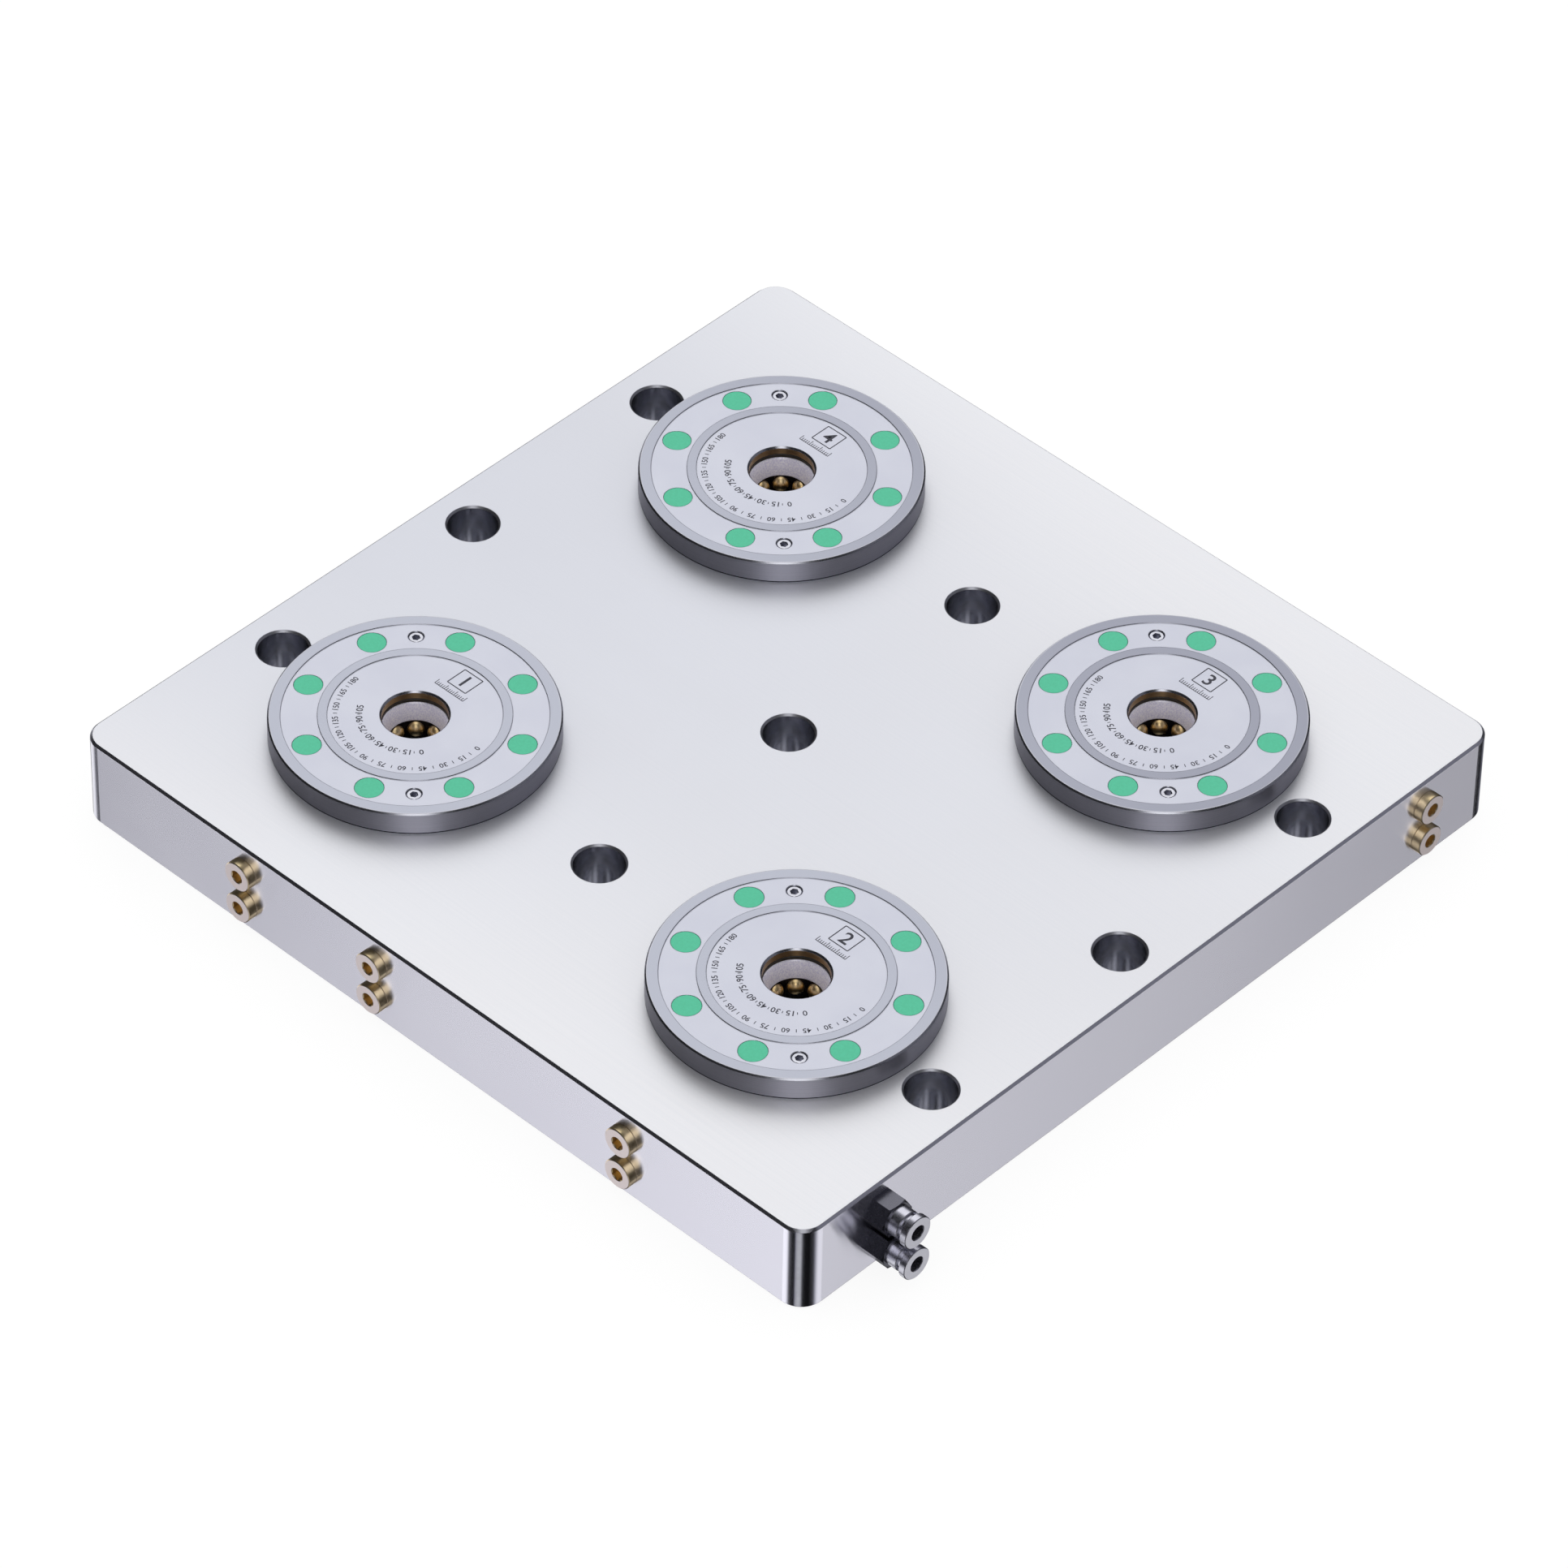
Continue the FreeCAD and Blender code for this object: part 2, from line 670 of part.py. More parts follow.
def make_piston(number):
    """The ring piston: a sealed skirt, and a neck whose inner cone wedges the balls inwards."""
    body = at_station("piston", number)
    relief = piston_radius - dim("piston_relief")
    foot_inner = cage_foot + dim("piston_foot_gap")
    underside = cage_foot_top + dim("piston_floor_gap")
    neck_chamfer = dim("piston_neck_chamfer")
    profile = new_sketch(body, "XZ_Plane", "profile")
    add_outline(profile, [
        (piston_bore, underside),
        (foot_inner, underside),
        (foot_inner, piston_foot),
        (relief, piston_foot),
        (relief, piston_land),
        (piston_radius, piston_land),
        (piston_radius, piston_shoulder),
        (piston_neck, piston_shoulder),
        (piston_neck, piston_neck_top - neck_chamfer * 2),
        (piston_neck - neck_chamfer, piston_neck_top),
        (wedge_top_radius, piston_neck_top),
        (piston_bore, wedge_foot),
    ])
    turn(body, "ring", profile)
    cut_ring_groove(body, "seal_groove", piston_radius, piston_seal_groove, "piston_seal_section")

    # The slots start inside the foot, so that they cut right through its inner edge.
    slot = new_sketch(body, "XZ_Plane", "air_slot", z=-cage_foot)
    add_rectangle(slot, -half("air_slot_width"), piston_foot - dim("piston_floor_gap"),
                  half("air_slot_width"), piston_foot + dim("air_slot_height"))
    air_slot = pocket(body, "air_slot", slot, relief)
    round_axis = new_sketch(body, "XY_Plane", "round_axis")
    repeat_round(body, air_slot, round_axis, AIR_SLOTS)


def make_seal_ring(body, radius, floor, section):
    """A round seal ring that lies in a groove cut by cut_ring_groove."""
    margin = dim("seal_groove_margin")
    profile = new_sketch(body, "XZ_Plane", "section")
    ring_radius = radius - dim(section) / 2
    add_circle(profile, ring_radius, floor + margin + dim(section) / 2,
               dim(section) / 2 - dim("seal_clearance"))
    return turn(body, "ring", profile)


def make_piston_seal(number):
    """The piston's outer seal, which travels with it."""
    make_seal_ring(at_station("piston_seal", number), piston_radius, piston_seal_groove,
                   "piston_seal_section")


def first_station(name):
    """A body at the first station, for pieces that are repeated at all four."""
    return new_body(name, -station_offset, -station_offset)


def repeat_turned(body, feature):
    """Copies of a turned feature at all four stations."""
    grid = new_sketch(body, "XY_Plane", "grid")
    repeat_at_stations(body, [feature], grid)


def make_housing_seals():
    """The seals that stay still: between cover and plate, and between cage and piston."""
    covers = first_station("cover_seals")
    repeat_turned(covers, make_seal_ring(covers, spigot_radius, cover_seal_groove,
                                         "cover_seal_section"))
    cages = first_station("cage_seals")
    repeat_turned(cages, make_seal_ring(cages, cage_guide, cage_seal_groove, "cage_seal_section"))


def make_wiper_rings():
    """The soft ring in each seat that keeps chips out once a pull stud is in."""
    body = first_station("wiper_rings")
    gap = dim("seal_groove_margin") / 4
    inner = half("seat_dia") - gap
    top = flange_top - dim("seat_depth") - gap
    floor = flange_top - dim("seat_depth") - dim("wiper_groove_height") + gap
    lip = dim("wiper_groove_height") / 6
    profile = new_sketch(body, "XZ_Plane", "section")
    add_outline(profile, [
        (inner + lip, floor),
        (half("seat_dia") + dim("wiper_groove_depth") - gap, floor),
        (half("seat_dia") + dim("wiper_groove_depth") - gap, top),
        (inner + lip, top),
        (inner, top - lip),
        (inner, floor + lip),
    ])
    repeat_turned(body, turn(body, "ring", profile))


def make_disc_springs():
    """Four disc springs in series at each station, pressing the piston down."""
    body = first_station("disc_springs")
    outer = well_radius - dim("disc_rim_gap")
    height = dim("disc_pitch") - dim("disc_air")
    cone = height - dim("disc_thick")
    profile = new_sketch(body, "XZ_Plane", "section")
    for index in range(DISCS_PER_STATION):
        floor = piston_shoulder + dim("disc_pitch") * index
        outer_floor = floor + cone * (index % 2)
        bore_floor = floor + cone * (1 - index % 2)
        add_outline(profile, [
            (disc_bore, bore_floor),
            (outer, outer_floor),
            (outer, outer_floor + dim("disc_thick")),
            (disc_bore, bore_floor + dim("disc_thick")),
        ])
    repeat_turned(body, turn(body, "discs", profile))


def make_balls(number):
    """The locking balls of one station, each free to slide along its own radius."""
    side_x, side_y = STATIONS[number]
    for index in range(BALLS_PER_STATION):
        x, y = on_circle(ball_ring, 360 / BALLS_PER_STATION * index)
        ball = doc.addObject("Part::Sphere", f"ball_{number}_{index + 1}")
        bind(ball, "Radius", ball_radius)
        bind(ball, "Placement.Base.x", station_offset * side_x + x)
        bind(ball, "Placement.Base.y", station_offset * side_y + y)
        bind(ball, "Placement.Base.z", ball_level)


def make_screw_group(name, top, points, hex_size, hex_depth, first_angle, count):
    """A turned part with a hexagon socket in its top, repeated on every screw circle."""
    body = first_station(name)
    x, y = on_circle(screw_circle, first_angle)
    profile = new_sketch(body, "XZ_Plane", "profile", x=x, z=-y)
    add_outline(profile, points)
    shape = turn(body, "shape", profile)
    socket = new_sketch(body, "XY_Plane", "socket", x, y, top)
    add_hexagon(socket, hex_size)
    hexagon = pocket(body, "socket", socket, hex_depth)
    circle = new_sketch(body, "XY_Plane", "circle")
    repeat_at_stations(body, [shape, hexagon], circle, count)


def make_flange_screws():
    """Low head screws that hold the covers; the caps hide them."""
    head = half("cap_dia") - dim("screw_head_gap")
    shank = half("screw_dia")
    edge = dim("cap_edge") * 2
    floor = screw_seat - dim("screw_length")
    top = screw_seat + dim("screw_head_height")
    points = [
        (0, floor), (shank - edge, floor), (shank, floor + edge), (shank, screw_seat),
        (head, screw_seat), (head, top - edge), (head - edge, top), (0, top),
    ]
    make_screw_group("flange_screws", top, points, dim("screw_hex"), dim("screw_hex_depth"),
                     FIRST_SCREW_ANGLE, SCREWS_PER_STATION)


def make_screw_caps():
    """Flush plastic caps over the cover screws."""
    body = first_station("screw_caps")
    radius = half("cap_dia") - dim("cap_clearance")
    edge = dim("cap_edge")
    x, y = on_circle(screw_circle, FIRST_SCREW_ANGLE)
    profile = new_sketch(body, "XZ_Plane", "profile", x=x, z=-y)
    add_outline(profile, [
        (0, cap_floor), (radius - edge, cap_floor), (radius, cap_floor + edge),
        (radius, flange_face - edge), (radius - edge, flange_face), (0, flange_face),
    ])
    circle = new_sketch(body, "XY_Plane", "circle")
    repeat_at_stations(body, [turn(body, "shape", profile)], circle, SCREWS_PER_STATION)


def make_jacking_screws():
    """Socket set screws that push a cover off its well."""
    radius = half("jack_dia")
    edge = dim("cap_edge") * 2
    point = dim("jack_point_chamfer")
    top = flange_face - dim("jack_sink")
    points = [
        (0, plate_top), (radius - point, plate_top), (radius, plate_top + point),
        (radius, top - edge), (radius - edge, top), (0, top),
    ]
    make_screw_group("jacking_screws", top, points, dim("jack_hex"), dim("jack_hex_depth"),
                     FIRST_JACK_ANGLE, 2)


# Bodies for pieces on the sides are drawn upright and turned so that their top points outwards.
FACING_FRONT = FreeCAD.Rotation(FreeCAD.Vector(1, 0, 0), 90)
FACING_RIGHT = FreeCAD.Rotation(FreeCAD.Vector(0, 1, 0), 90)


def make_plug(name, x, y, level, rotation):
    """A collar screw plug with a hexagon socket; its own z = 0 is the plate's side face."""
    body = new_body(name, x, y, level, rotation)
    head = half("plug_head_dia")
    chamfer = dim("plug_head_chamfer")
    foot = dim("plug_foot_chamfer")
    thread = half("port_dia") - dim("thread_clearance")
    top = dim("plug_head_height")
    profile = new_sketch(body, "XZ_Plane", "profile")
    add_outline(profile, [
        (0, -dim("plug_thread_length")),
        (thread - chamfer, -dim("plug_thread_length")),
        (thread, chamfer - dim("plug_thread_length")),
        (thread, 0),
        (head - foot, 0),
        (head, foot),
        (head, top - chamfer),
        (head - chamfer, top),
        (0, top),
    ])
    turn(body, "collar", profile)
    socket = new_sketch(body, "XY_Plane", "socket", z=top)
    add_hexagon(socket, dim("plug_hex"))
    pocket(body, "hexagon", socket, dim("plug_hex_depth"))
    mouth = new_sketch(body, "XZ_Plane", "mouth")
    add_outline(mouth, [
        (0, top),
        (half("plug_mouth_dia"), top),
        (0, top - half("plug_mouth_dia")),
    ])
    turned_cut(body, "mouth_cut", mouth)
    return body


def make_channel_plugs():
    """Eight plugs that close the drilled channels: three pairs in front, one pair at the right."""
    plugs = []
    for level_name, level in (("low", channel_low), ("high", channel_high)):
        for index, x in enumerate((-station_offset, -dim("cross_channel_offset"), station_offset)):
            plugs.append(make_plug(f"plug_front_{level_name}_{index + 1}", x, -half("plate_width"),
                                   level, FACING_FRONT))
        plugs.append(make_plug(f"plug_right_{level_name}", half("plate_length"), side_channel,
                               level, FACING_RIGHT))
    group_solids("channel_plugs", plugs)


def group_solids(name, members):
    """One sub-part made of several separate solids."""
    group = doc.addObject("Part::Compound", name)
    group.Links = members
    grouped.update(member.Name for member in members)


def make_fitting_body(name, level):
    """A push-in air fitting: threaded end, hexagon, barrel and the bore for its sleeve."""
    body = new_body(name, half("plate_length"), -side_channel, level, FACING_RIGHT)
    thread = half("port_dia") - dim("thread_clearance")
    barrel_top = dim("fitting_hex_length") + dim("fitting_barrel_length")
    bore_floor = barrel_top - dim("fitting_bore_depth")
    hexagon = new_sketch(body, "XY_Plane", "hexagon")
    add_hexagon(hexagon, dim("fitting_hex"))
    pad(body, "hexagon_pad", hexagon, dim("fitting_hex_length"))

    # Turning away the six corners leaves the usual chamfer on the outer end.
    tip = dim("fitting_hex") / math.sqrt(3)
    edge = dim("fitting_hex_chamfer")
    chamfer = new_sketch(body, "XZ_Plane", "corner_chamfer")
    add_outline(chamfer, [
        (half("fitting_hex") - dim("sleeve_clearance"), dim("fitting_hex_length")),
        (tip + edge, dim("fitting_hex_length")),
        (tip + edge, dim("fitting_hex_length") - edge),
    ])
    turned_cut(body, "corner_cut", chamfer)

    # The barrel runs back into the hexagon, so that the two are one solid.
    core = dim("fitting_core_inset")
    profile = new_sketch(body, "XZ_Plane", "profile")
    add_outline(profile, [
        (0, -dim("plug_thread_length")),
        (thread, -dim("plug_thread_length")),
        (thread, core),
        (half("fitting_barrel_dia"), core),
        (half("fitting_barrel_dia"), barrel_top - dim("sleeve_flange_chamfer")),
        (half("fitting_barrel_dia") - dim("sleeve_flange_chamfer"), barrel_top),
        (0, barrel_top),
    ])
    turn(body, "barrel", profile)

    bore = new_sketch(body, "XZ_Plane", "bore")
    stop = bore_floor - dim("fitting_stop_depth")
    add_outline(bore, [
        (0, barrel_top),
        (half("fitting_bore_dia"), barrel_top),
        (half("fitting_bore_dia"), bore_floor),
        (half("tube_dia"), bore_floor),
        (half("tube_dia"), stop),
        (half("fitting_passage_dia"), stop),
        (half("fitting_passage_dia"), -dim("plug_thread_length")),
        (0, -dim("plug_thread_length")),
    ])
    turned_cut(body, "bore_cut", bore)
    return body


def make_release_sleeve(name, level):
    """The sleeve that is pressed in to let the air hose go."""
    body = new_body(name, half("plate_length"), -side_channel, level, FACING_RIGHT)
    barrel_top = dim("fitting_hex_length") + dim("fitting_barrel_length")
    tube = half("fitting_bore_dia") - dim("sleeve_clearance")
    flange = half("sleeve_flange_dia")
    edge = dim("sleeve_flange_chamfer")
    tube_end = barrel_top - dim("fitting_bore_depth") + dim("sleeve_floor_gap")
    flange_floor = barrel_top + dim("sleeve_gap")
    top = flange_floor + dim("sleeve_flange_thick")
    profile = new_sketch(body, "XZ_Plane", "profile")
    add_outline(profile, [
        (half("tube_dia"), tube_end),
        (tube, tube_end),
        (tube, flange_floor),
        (flange - edge, flange_floor),
        (flange, flange_floor + edge),
        (flange, top - edge),
        (flange - edge, top),
        (half("tube_dia") + edge, top),
        (half("tube_dia"), top - edge),
    ])
    turn(body, "sleeve", profile)


def make_air_fittings():
    """Two fittings on the right side: the lower line unlocks, the upper one helps to lock."""
    bodies = [make_fitting_body("fitting_unlock", channel_low),
              make_fitting_body("fitting_lock", channel_high)]
    group_solids("air_fittings", bodies)
    make_release_sleeve("release_sleeve_unlock", channel_low)
    make_release_sleeve("release_sleeve_lock", channel_high)


def make_all():
    """Build every sub-part."""
    make_base_plate()
    for number in STATIONS:
        make_flange_cover(number)
        make_ball_cage(number)
        make_piston(number)
        make_piston_seal(number)
        make_balls(number)
    make_disc_springs()
    make_housing_seals()
    make_wiper_rings()
    make_flange_screws()
    make_screw_caps()
    make_jacking_screws()
    make_channel_plugs()
    make_air_fittings()


def sub_parts():
    """The objects that are written out, each under its label."""
    kinds = ("PartDesign::Body", "Part::Sphere", "Part::Compound")
    return [item for item in doc.Objects if item.TypeId in kinds and item.Name not in grouped]


def check_and_export():
    """Stop on any failed object or bad shape, and write one file for each sub-part."""
    failed = [item.Name for item in doc.Objects
              if "Invalid" in item.State or "Error" in item.State]
    if failed:
        raise RuntimeError(f"failed objects: {failed}")
    for item in sub_parts():
        if item.Shape.isNull() or not item.Shape.isValid():
            raise RuntimeError(f"bad shape: {item.Label}")
    os.makedirs("parts", exist_ok=True)
    for item in sub_parts():
        item.Shape.exportStep(f"parts/{item.Label}.step")


grouped = set()
make_all()
doc.recompute()
check_and_export()
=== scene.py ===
import json
import math

import bmesh
import bpy
from mathutils import Matrix, Quaternion, Vector


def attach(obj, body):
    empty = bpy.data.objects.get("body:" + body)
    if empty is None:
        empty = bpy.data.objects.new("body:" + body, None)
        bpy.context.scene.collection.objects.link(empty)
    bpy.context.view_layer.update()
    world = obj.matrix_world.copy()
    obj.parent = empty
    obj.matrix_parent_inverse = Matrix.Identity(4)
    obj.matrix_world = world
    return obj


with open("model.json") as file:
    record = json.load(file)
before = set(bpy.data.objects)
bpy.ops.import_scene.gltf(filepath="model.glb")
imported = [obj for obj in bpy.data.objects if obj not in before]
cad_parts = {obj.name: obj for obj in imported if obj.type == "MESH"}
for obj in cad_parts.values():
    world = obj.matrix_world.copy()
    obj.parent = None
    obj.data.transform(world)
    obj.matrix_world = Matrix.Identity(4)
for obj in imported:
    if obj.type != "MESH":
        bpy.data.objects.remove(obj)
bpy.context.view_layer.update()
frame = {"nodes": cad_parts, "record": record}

MM = 0.001

# The stations, in millimetres.
STATION_OFFSET = 100.0
STATIONS = {1: (-1, -1), 2: (1, -1), 3: (1, 1), 4: (-1, 1)}

# The marks on the recessed face of each flange, in millimetres.
FLANGE_FACE = 49.7
MARK_LEVEL = FLANGE_FACE + 0.02
MARK_WIDTH = 0.30
DIGIT_WEIGHT = 0.012

# The angle scales. Each row is: radius, height of the digits, length of the short lines, azimuth
# of the first number in degrees, count of numbers.
SCALES = (
    (30.3, 2.4, 1.6, 6.0, 13),
    (21.2, 2.7, 1.2, -38.0, 8),
)
SCALE_STEP = 15

# The framed number: lowest and highest x and y from the axis of the station.
FRAME_X = (-4.5, 5.1)
FRAME_Y = (21.6, 31.1)
FRAME_WIDTH = 0.45
NUMBER_HEIGHT = 6.4

# The short rule, its y from the axis of the station, and its lines, each a millimetre apart.
RULE_FOOT = 17.8
RULE_REACH = 7.6
RULE_FIRST = -7.5
RULE_COUNT = 16
RULE_LONG_EVERY = 5
RULE_LONG = 2.6
RULE_SHORT = 1.6

# The camera of the photograph, in metres.
CAMERA_PLACE = (1.8000, -1.9271, 2.4584)
CAMERA_TARGET = (0.0039, -0.0062, 0.0200)
CAMERA_ROLL = math.radians(1.18)
CAMERA_CLIP = (0.05, 60.0)
SENSOR = 36.0
LENS = SENSOR * 6.0196

# Soft panels round the object. Each row is: first azimuth and its soft edge, last azimuth and its
# soft edge, lowest and highest elevation and their soft edge, brightness. Angles are in degrees.
PANELS = (
    (108.0, 10.0, 164.0, 10.0, 20.0, 76.0, 9.0, 1.28),
    (-59.0, 7.0, -30.0, 8.0, 14.0, 62.0, 10.0, 1.50),
    (14.0, 12.0, 100.0, 12.0, 12.0, 50.0, 10.0, 0.20),
    (-137.0, 4.0, -107.0, 7.0, -74.0, -10.0, 10.0, 1.18),
    (-72.0, 6.0, -47.0, 4.0, -74.0, -8.0, 10.0, 0.78),
    (14.0, 12.0, 51.2, 0.5, -74.0, -8.0, 10.0, 0.90),
    (94.0, 12.0, 140.0, 12.0, -70.0, -8.0, 10.0, 0.35),
    (158.0, 6.0, 200.0, 8.0, -74.0, -8.0, 10.0, 1.00),
)
DARK_LEVEL = 0.008
ZENITH_LEVEL = 1.00
ZENITH_EDGE = (59.0, 76.0)
TINTED_LIGHT = (0.1, 0.9)

# The floor, its size in metres, and how light it is to the object and to the camera.
FLOOR_RADIUS = 6.0
FLOOR_SIDES = 96
FLOOR_DROP = 0.0002
FLOOR_WHITE = 0.9
FLOOR_SHADOW = 0.12
FLOOR_GLOW = 0.90

# Where a finish, a painted shadow or a painted reflection starts and where it is full, by the
# height in metres.
RING_TOPS = (0.04985, 0.04995)
FLANGE_FACES = (0.0495, 0.0496)
FOOT_SHADOW = (0.04085, 0.04065)
SEAT_LEVEL = (0.0490, 0.0489)
SEAT_WALL = (0.0461, 0.0462)

# The same by the distance in metres from the axis of the station.
SKIRT = (0.0550, 0.0555)
RIM = (0.0550, 0.0552)
SEAT_MOUTH = (0.0145, 0.0140)

# The same by the distance in metres from the middle of the plate.
HOLES = (0.1888, 0.1884)
PLUG_END_X = (0.19385, 0.19395)
PLUG_END_Y = (-0.19385, -0.19395)
HEXAGON = (0.19910, 0.19900)
FITTING_END = (0.20885, 0.20895)

# The same by how much the surface faces up, from 0 to 1.
GROUND_UP = (0.90, 0.99)
TURNED_UP = (0.95, 0.995)
CHAMFERED_UP = (0.80, 0.90)
TILT = (0.2, 0.5)

# The middle part of a noise, where it goes from dark to light.
GRAIN = (0.3, 0.7)

# The plate's ground lines along X, and the painted shade that makes its top greyer towards -X and
# in the middle.
GROUND_LINES = (6.0, 900.0)
PAINTED_SHADE_BOW = 18.0
PAINTED_SHADE_SLOPE = 1.6
PAINTED_SHADE_EDGE = (0.75, -0.45)
PAINTED_SHADE_SHARE = 0.60

# The flange's turned lines by radius and by height, and the painted shade that makes its rings
# darker towards +X and +Y.
TURNED_LINES = (9000.0, 4000.0)
RING_SHADE_SLOPE = 0.5
RING_SHADE_EDGE = (-0.05, 0.17)

# Roughness of the plate: top, sides, chamfers, walls of the holes and their mouths.
TOP_ROUGH = 0.50
SIDE_ROUGH = 0.19
CHAMFER_ROUGH = 0.20
HOLE_ROUGH = 0.20
MOUTH_ROUGH = 0.36

# Roughness of the flange, whose chamfers are like the plate's: rings, satin faces, side and seat.
RING_ROUGH = 0.32
SATIN_ROUGH = 0.44
SKIRT_ROUGH = 0.33

# How metallic the blasted cone looks, how far walls spread their gloss, the rounding of edges in
# metres, grains in noise cells per metre, and how much the roughness varies.
BLASTED_METAL = 0.3
WALL_SPREAD = 0.96
EDGE_ROUNDING = 0.0004
EDGE_SAMPLES = 6
METAL_GRAIN = 300.0
SMALL_PART_GRAIN = 400.0
BLASTED_GRAIN = 1800.0
SOFT_GRAIN = 900.0
MARK_GRAIN = 2500.0
WIDE_GRAIN = (0.25, 0.75)
METAL_VARIES = (0.85, 1.15)
SOFT_VARIES = (-0.04, 0.04)


class Nodes:
    """Short calls that add and link the nodes of one tree."""

    def __init__(self, tree):
        self.tree = tree
        tree.nodes.clear()

    def add(self, kind, **settings):
        node = self.tree.nodes.new(kind)
        for name, value in settings.items():
            setattr(node, name, value)
        return node

    def put(self, socket, value):
        """Links the socket to another one, or sets its own number or colour."""
        if isinstance(value, bpy.types.NodeSocket):
            self.tree.links.new(value, socket)
        elif value is not None:
            if socket.type == "RGBA" and len(value) == 3:
                value = (*value, 1.0)
            socket.default_value = value

    def math(self, operation, a, b=None, c=None):
        node = self.add("ShaderNodeMath", operation=operation)
        for socket, value in zip(node.inputs, (a, b, c)):
            self.put(socket, value)
        return node.outputs[0]

    def times(self, a, b):
        return self.math("MULTIPLY", a, b)

    def left(self, share):
        """What a share leaves of one."""
        return self.math("SUBTRACT", 1.0, share)

    def smooth(self, value, low, high, out_low=0.0, out_high=1.0):
        """A soft step of value from low to high."""
        node = self.add("ShaderNodeMapRange", interpolation_type="SMOOTHSTEP")
        for name, number in (("Value", value), ("From Min", low), ("From Max", high),
                             ("To Min", out_low), ("To Max", out_high)):
            self.put(node.inputs[name], number)
        return node.outputs[0]

    def mix(self, factor, a, b):
        """A colour between a and b."""
        node = self.add("ShaderNodeMix", data_type="RGBA")
        self.put(node.inputs[0], factor)
        self.put(node.inputs[6], a)
        self.put(node.inputs[7], b)
        return node.outputs[2]

    def grade(self, noise, dark, light):
        """A colour that a noise takes from dark to light."""
        return self.mix(self.smooth(noise, *GRAIN), dark, light)

    def blend(self, factor, a, b):
        """A number between a and b."""
        node = self.add("ShaderNodeMix", data_type="FLOAT")
        self.put(node.inputs[0], factor)
        self.put(node.inputs[2], a)
        self.put(node.inputs[3], b)
        return node.outputs[0]

    def split(self, vector):
        node = self.add("ShaderNodeSeparateXYZ")
        self.put(node.inputs[0], vector)
        return node.outputs

    def join(self, x, y, z):
        node = self.add("ShaderNodeCombineXYZ")
        for socket, value in zip(node.inputs, (x, y, z)):
            self.put(socket, value)
        return node.outputs[0]

    def noise(self, vector, scale, detail=3.0, roughness=0.6):
        node = self.add("ShaderNodeTexNoise")
        self.put(node.inputs["Vector"], vector)
        node.inputs["Scale"].default_value = scale
        node.inputs["Detail"].default_value = detail
        node.inputs["Roughness"].default_value = roughness
        return node.outputs["Fac"]

    def place(self):
        """The place on the surface, in the object's own frame."""
        return self.add("ShaderNodeTexCoord").outputs["Object"]

    def facing(self):
        """How much the surface faces up, in the object's own frame, or down below zero."""
        return self.split(self.add("ShaderNodeTexCoord").outputs["Normal"])[2]

    def upright(self):
        """One on walls, and zero where the surface faces up or down."""
        return self.left(self.smooth(self.math("ABSOLUTE", self.facing()), *TILT))


def linear(red, green, blue):
    """A colour as a screen shows it, from 0 to 255, as linear light."""
    out = []
    for channel in (red, green, blue):
        c = channel / 255.0
        out.append(c / 12.92 if c <= 0.04045 else ((c + 0.055) / 1.055) ** 2.4)
    return tuple(out)


def make_world():
    """White for the camera and for plain surfaces, and a studio with soft panels for the metal."""
    world = bpy.data.worlds.new("studio")
    bpy.context.scene.world = world
    world.use_nodes = True
    n = Nodes(world.node_tree)
    x, y, z = n.split(n.add("ShaderNodeTexCoord").outputs["Generated"])
    azimuth = n.times(n.math("ARCTAN2", y, x), 180.0 / math.pi)
    elevation = n.times(n.math("ARCSINE", z), 180.0 / math.pi)
    light = n.smooth(elevation, *ZENITH_EDGE, DARK_LEVEL, ZENITH_LEVEL)
    for first, first_edge, last, last_edge, low, high, rim, level in PANELS:
        # The azimuth as seen from the panel's middle, the short way round.
        half = (last - first) / 2
        aside = n.math("WRAP", n.math("SUBTRACT", azimuth, (first + last) / 2), 180.0, -180.0)
        across = n.times(n.smooth(aside, -half - first_edge, -half + first_edge),
                         n.smooth(aside, half + last_edge, half - last_edge))
        up = n.times(n.smooth(elevation, low - rim, low + rim),
                     n.smooth(elevation, high + rim, high - rim))
        light = n.math("MAXIMUM", light, n.times(n.times(across, up), level))
    tint = n.mix(n.smooth(light, *TINTED_LIGHT), linear(226, 228, 244), (1.0, 1.0, 1.0))
    studio = n.add("ShaderNodeBackground")
    n.put(studio.inputs["Color"], tint)
    n.put(studio.inputs["Strength"], light)
    white = n.add("ShaderNodeBackground")
    n.put(white.inputs["Color"], (1.0, 1.0, 1.0))
    n.put(white.inputs["Strength"], 1.0)
    either = n.add("ShaderNodeMixShader")
    n.put(either.inputs[0], n.add("ShaderNodeLightPath").outputs["Is Glossy Ray"])
    n.put(either.inputs[1], white.outputs[0])
    n.put(either.inputs[2], studio.outputs[0])
    n.put(n.add("ShaderNodeOutputWorld").inputs["Surface"], either.outputs[0])


def make_camera():
    data = bpy.data.cameras.new("camera")
    data.sensor_width = SENSOR
    data.lens = LENS
    data.clip_start, data.clip_end = CAMERA_CLIP
    camera = bpy.data.objects.new("camera", data)
    bpy.context.scene.collection.objects.link(camera)
    camera.location = CAMERA_PLACE
    sight = Vector(CAMERA_TARGET) - Vector(CAMERA_PLACE)
    camera.rotation_mode = "QUATERNION"
    turn = sight.to_track_quat("-Z", "Y") @ Quaternion((0.0, 0.0, 1.0), CAMERA_ROLL)
    camera.rotation_quaternion = turn
    bpy.context.scene.camera = camera


